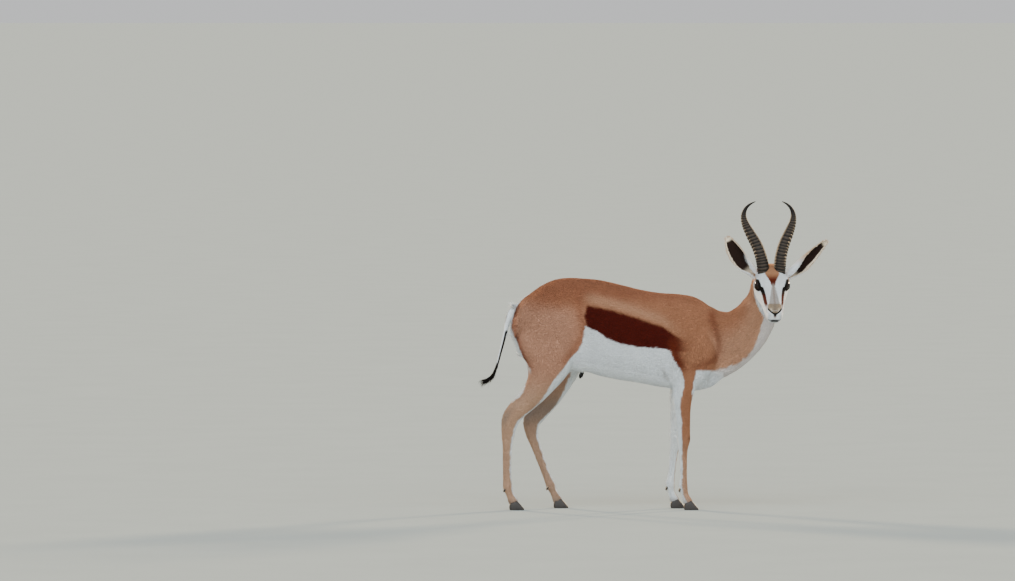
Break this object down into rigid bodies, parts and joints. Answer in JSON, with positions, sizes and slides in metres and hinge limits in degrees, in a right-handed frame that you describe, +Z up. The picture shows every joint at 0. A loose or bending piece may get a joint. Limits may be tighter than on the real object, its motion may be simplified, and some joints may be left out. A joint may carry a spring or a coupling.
{
  "type": "springbok",
  "caption": "Life-size springbok ram standing on four straight legs, with its neck turned and its face to the side, ringed lyre horns and a thin tufted tail.",
  "frame": {"origin": "on the floor, under the middle of the animal's bounding box", "axes": "+X from rump to chest, +Y to the animal's left, +Z up; the face looks along -Y"},
  "size_m": [1.2502, 0.3259, 1.1095],
  "materials": {
    "coat_fawn": "short fawn fur",
    "coat_pale": "short pale grey-fawn fur",
    "coat_head": "short white fur with brown face marks",
    "coat_tail": "white fur with a black hair tuft",
    "horn": "ringed dark keratin, satin",
    "hoof": "black keratin, satin",
    "eye": "wet, very dark brown",
    "dark_skin": "short black hair"
  },
  "bodies": {
    "root": {"hind_leg_right": "coat_fawn", "hind_leg_right_cannon": "coat_pale", "dewclaw_outer_hind_leg_right": "hoof", "dewclaw_inner_hind_leg_right": "hoof", "hind_leg_right_foot": "coat_pale", "hoof_outer_hind_leg_right": "hoof", "hoof_inner_hind_leg_right": "hoof", "hind_leg_left": "coat_fawn", "hind_leg_left_cannon": "coat_pale", "dewclaw_outer_hind_leg_left": "hoof", "dewclaw_inner_hind_leg_left": "hoof", "hind_leg_left_foot": "coat_pale", "hoof_outer_hind_leg_left": "hoof", "hoof_inner_hind_leg_left": "hoof", "foreleg_right": "coat_fawn", "foreleg_right_cannon": "coat_pale", "dewclaw_outer_foreleg_right": "hoof", "dewclaw_inner_foreleg_right": "hoof", "foreleg_right_foot": "coat_pale", "hoof_outer_foreleg_right": "hoof", "hoof_inner_foreleg_right": "hoof", "foreleg_left": "coat_fawn", "foreleg_left_cannon": "coat_pale", "dewclaw_outer_foreleg_left": "hoof", "dewclaw_inner_foreleg_left": "hoof", "foreleg_left_foot": "coat_pale", "hoof_outer_foreleg_left": "hoof", "hoof_inner_foreleg_left": "hoof", "torso": "coat_fawn", "neck": "coat_fawn", "head": "coat_head", "eye_left": "eye", "horn_left": "horn", "eye_right": "eye", "horn_right": "horn", "ear_right": "coat_pale", "ear_left": "coat_pale", "tail": "coat_tail", "sheath": "dark_skin"}
  },
  "joints": []
}
